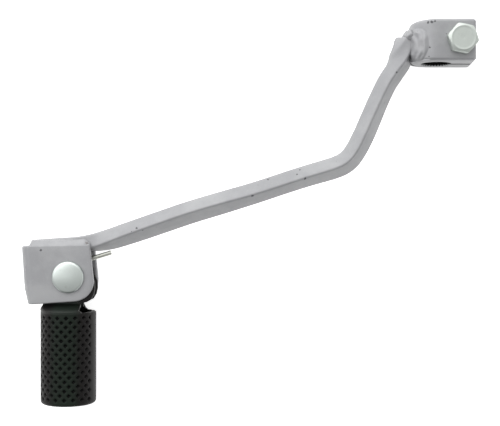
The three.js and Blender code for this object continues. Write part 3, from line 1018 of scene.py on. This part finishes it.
def build_tube(material):
    """The rolled sheet: an outer face with dimples, an inner face, and an open seam."""
    rows = tube_rows()
    rings, dimple_shades = [], []
    for angle in tube_angles():
        ring = []
        for y in rows:
            low = edge_inset(y - PEG_BOTTOM_Y, PEG_BOTTOM_EDGE)
            high = edge_inset(PEG_TOP_Y - y, PEG_TOP_EDGE)
            dimpled = DIMPLED[0] + 0.02 < angle < DIMPLED[1] - 0.02
            depth = dimple_depth(angle, y) if dimpled else 0.0
            rolled = min(low + high, PEG_SHEET - 0.15)
            radius = PEG_R - NECK_STEP - rolled - DIMPLE_DEPTH * depth
            ring.append((PEG_X + radius * math.cos(angle), y, radius * math.sin(angle)))
            dimple_shades.append(depth)
        for y in (PEG_TOP_Y, PEG_TOP_Y - 0.2, -116.0, PEG_BOTTOM_Y + 0.2, PEG_BOTTOM_Y):
            radius = PEG_R - PEG_SHEET
            ring.append((PEG_X + radius * math.cos(angle), y, radius * math.sin(angle)))
            dimple_shades.append(0.0)
        rings.append(ring)
    points, faces = loft(rings)
    dimple_shades += [0.0, 0.0]
    tube = piece("peg_tube", points, faces, material, None, crease=55)
    # The dimples' depth, which the black material turns into painted shade.
    mark = tube.data.attributes.new("dimple_shade", "FLOAT", "POINT")
    mark.data.foreach_set("value", np.array(dimple_shades, np.float32))
    settle(tube, "peg", ("foot_peg",))


def ear_outline():
    """An ear's outline about the pivot, counterclockwise from the crown's right side."""
    outline = []
    for k in range(49):
        angle = math.radians(2) + k / 48 * math.radians(196)
        outline.append((EAR_CROWN_R * math.cos(angle), EAR_CROWN_R * math.sin(angle)))
    outline += [(-9.3, -3.6), (-13.0, -5.0), (-12.7, -8.2), (-9.6, -9.2), (-9.6, -11.6)]
    outline += [(4.0, -11.6), (4.1, -10.3), (4.7, -9.7), (6.3, -9.4)]
    outline += [(7.8, -8.6), (8.9, -6.8), (9.4, -4.5), (9.3, -2.0)]
    return outline


def build_ear(side, material):
    """An ear's flat sheet, with its edges eased."""
    outline = [Vector((*p, 0)) for p in ear_outline()]
    count = len(outline)
    normals = []
    for k, point in enumerate(outline):
        along = (outline[(k + 1) % count] - outline[k - 1]).normalized()
        normals.append(Vector((along.y, -along.x, 0)))
    half = PEG_SHEET / 2
    rings = []
    ease = 0.3
    for k in range(-4, 5):
        angle = k / 4 * TURN / 4
        inset = ease * (1 - math.cos(angle))
        flat = (half - ease) * ((k > 0) - (k < 0))
        z = side * EAR_Z + flat + ease * math.sin(angle)
        rings.append([
            (PIVOT[0] + p.x - n.x * inset, PIVOT[1] + p.y - n.y * inset, z)
            for p, n in zip(outline, normals)
        ])
    points, faces = loft(rings)
    suffix = "top" if side > 0 else "bottom"
    piece("peg_ear_" + suffix, points, faces, material, "peg", (), 40)


def build_neck(side, material):
    """The sheet from an ear's flat, spread out flush with the tube's round wall."""
    half = PEG_SHEET / 2
    high, low, bend = -96.2, PEG_TOP_Y - 0.75, -99.0
    rings = []
    for i in range(33):
        y = high + (low - high) * i / 32
        round_share = smooth(-y, -high, -bend)
        sink = 0.06 * smooth(-y, -(PEG_TOP_Y - 0.3), -low)
        left = NECK_LEFT_X + (PEG_X - PEG_R + 0.1 - NECK_LEFT_X) * round_share
        right = NECK_RIGHT_X + NECK_FLARE * smooth(-y, -NECK_FLARE_Y, -low)
        upper, lower = [], []
        for k in range(25):
            x = left + (right - left) * k / 24
            offset = abs(x - PEG_X)
            outer_wall = math.sqrt(max((PEG_R - sink) ** 2 - offset**2, 0.3))
            inner_wall = math.sqrt(max((PEG_R - PEG_SHEET + 0.1) ** 2 - offset**2, 0.01))
            outer = EAR_Z + half + (outer_wall - EAR_Z - half) * round_share
            inner = EAR_Z - half + (inner_wall - EAR_Z + half) * round_share
            drop = edge_inset(min(k, 24 - k) * 0.3, 0.3) * (1 - round_share)
            upper.append((x, y, side * (outer - drop)))
            lower.append((x, y, side * (inner + drop)))
        rings.append(upper + list(reversed(lower)))
    points, faces = loft(rings)
    suffix = "top" if side > 0 else "bottom"
    piece("peg_neck_" + suffix, points, faces, material, "peg", (), 50)


# ---------------------------------------------------------------- everything


scrap = bpy.data.materials.new("scrap")

hub_paint = silver_paint("hub_paint", chips=[
    ((-3.1, 6.3, 9.6), 0.65), ((-4.4, 6.2, 9.2), 0.5), ((-2.0, 6.5, 9.8), 0.45),
    ((-3.9, -2.9, 9.5), 0.35), ((-4.1, -6.2, 9.3), 0.35),
])
arm_paint = silver_paint("arm_paint", chips=[
    ((-110.6, -68.4, 4.5), 0.5), ((-112.5, -69.8, 4.5), 0.4), ((-108.4, -69.2, 4.3), 0.35),
    ((-48.8, -50.2, 4.4), 0.65), ((-50.6, -47.0, 3.3), 0.4), ((-51.7, -48.7, 3.9), 0.4),
    ((-62.3, -50.6, 3.1), 0.45), ((-68.0, -56.6, 4.5), 0.6), ((-15.2, -11.3, 4.6), 0.4),
])
bracket_paint = silver_paint("bracket_paint", chips=[((-145.3, -76.5, 7.0), 0.5)])
weld_paint = silver_paint("weld_paint", rust=[((-128.9, -74.2, 5.6), 0.9)], weld=0.5)
rivet_zinc = zinc_plate("rivet_zinc", (0.61, 0.66, 0.635), 0.32)
bolt_zinc = zinc_plate("bolt_zinc", (0.58, 0.62, 0.585), 0.5)
spring_zinc = zinc_plate("spring_zinc", (0.55, 0.56, 0.51), 0.36)
peg_black = black_finish("peg_black", dimples=True)
ear_black = black_finish("ear_black", gloss=0.3)
# Black for the hub's bore and slot: painted shade inside them.
recess_shade_black = black_finish("recess_shade_black")

build_hub(hub_paint, recess_shade_black)
build_bolt(bolt_zinc)
build_hub_weld(1, weld_paint)
build_hub_weld(-1, weld_paint)
build_end_fill(weld_paint)
build_arm(arm_paint)
build_bracket(bracket_paint)
build_bracket_weld(1, weld_paint)
build_bracket_weld(-1, weld_paint)
build_rivet(rivet_zinc)
build_spring(spring_zinc)
build_tube(peg_black)
for side in (1, -1):
    build_ear(side, ear_black)
    build_neck(side, ear_black)

sleeve = next(made for made in bpy.data.objects if "pivot_sleeve" in made.name)
sleeve.data.materials.clear()
sleeve.data.materials.append(spring_zinc)
bpy.data.materials.remove(scrap)


# ---------------------------------------------------------------- floor, light and camera


def floor():
    low = cad_box[0][2]
    mesh = bpy.data.meshes.new("floor")
    size = 6.0
    corners = [(x * size, y * size, low) for x, y in ((-1, -1), (1, -1), (1, 1), (-1, 1))]
    mesh.from_pydata(corners, [], [(0, 1, 2, 3)])
    made = bpy.data.objects.new("floor", mesh)
    bpy.context.scene.collection.objects.link(made)
    paint = Paint("floor_paper")
    grain = paint.noise(40.0, 3.0)
    paint.set("Base Color", paint.mix(grain, color(0.94, 0.94, 0.94), color(0.96, 0.96, 0.96)))
    paint.set("Roughness", 0.9)
    paint.set("Emission Color", color(1.0, 1.0, 1.0))
    paint.set("Emission Strength", 0.7)
    mesh.materials.append(paint.material)
    made.visible_diffuse = False
    made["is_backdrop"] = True


def lamp(name, place, aim, size, power):
    data = bpy.data.lights.new(name, "AREA")
    data.shape = "RECTANGLE"
    data.size, data.size_y = size
    data.energy = power
    made = bpy.data.objects.new(name, data)
    made.location = place
    made.rotation_euler = (Vector(aim) - Vector(place)).to_track_quat("-Z", "Y").to_euler()
    bpy.context.scene.collection.objects.link(made)


def world():
    """Even white light, a little dimmer from the -Y side."""
    made = bpy.data.worlds.new("studio")
    made.use_nodes = True
    nodes, links = made.node_tree.nodes, made.node_tree.links
    direction = nodes.new("ShaderNodeTexCoord")
    parts = nodes.new("ShaderNodeSeparateXYZ")
    ramp = nodes.new("ShaderNodeMapRange")
    ramp.inputs["From Min"].default_value = -1.0
    ramp.inputs["To Min"].default_value = 0.3
    ramp.inputs["To Max"].default_value = 1.08
    links.new(direction.outputs["Generated"], parts.inputs[0])
    links.new(parts.outputs["Y"], ramp.inputs["Value"])
    links.new(ramp.outputs[0], nodes["Background"].inputs["Strength"])
    nodes["Background"].inputs["Color"].default_value = (1.0, 1.0, 1.0, 1.0)
    bpy.context.scene.world = made


def camera():
    data = bpy.data.cameras.new("camera")
    data.lens = 73.66
    data.sensor_width = 36.0
    data.clip_start = 0.01
    made = bpy.data.objects.new("camera", data)
    made.location = (-0.0690, -0.0629, 0.380)
    bpy.context.scene.collection.objects.link(made)
    bpy.context.scene.camera = made


floor()
world()
lamp("top_soft", (-0.6, 0.87, 0.72), (-0.069, -0.06, 0.0), (2.4, 1.6), 14.6)
lamp("side_soft", (-0.56, -0.086, 0.75), (-0.135, -0.086, 0.0), (0.22, 1.0), 0.25)
camera()
bpy.context.scene.view_settings.view_transform = "Standard"

new_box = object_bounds()
str([[list(map(float, corner)) for corner in box] for box in (cad_box, new_box)])
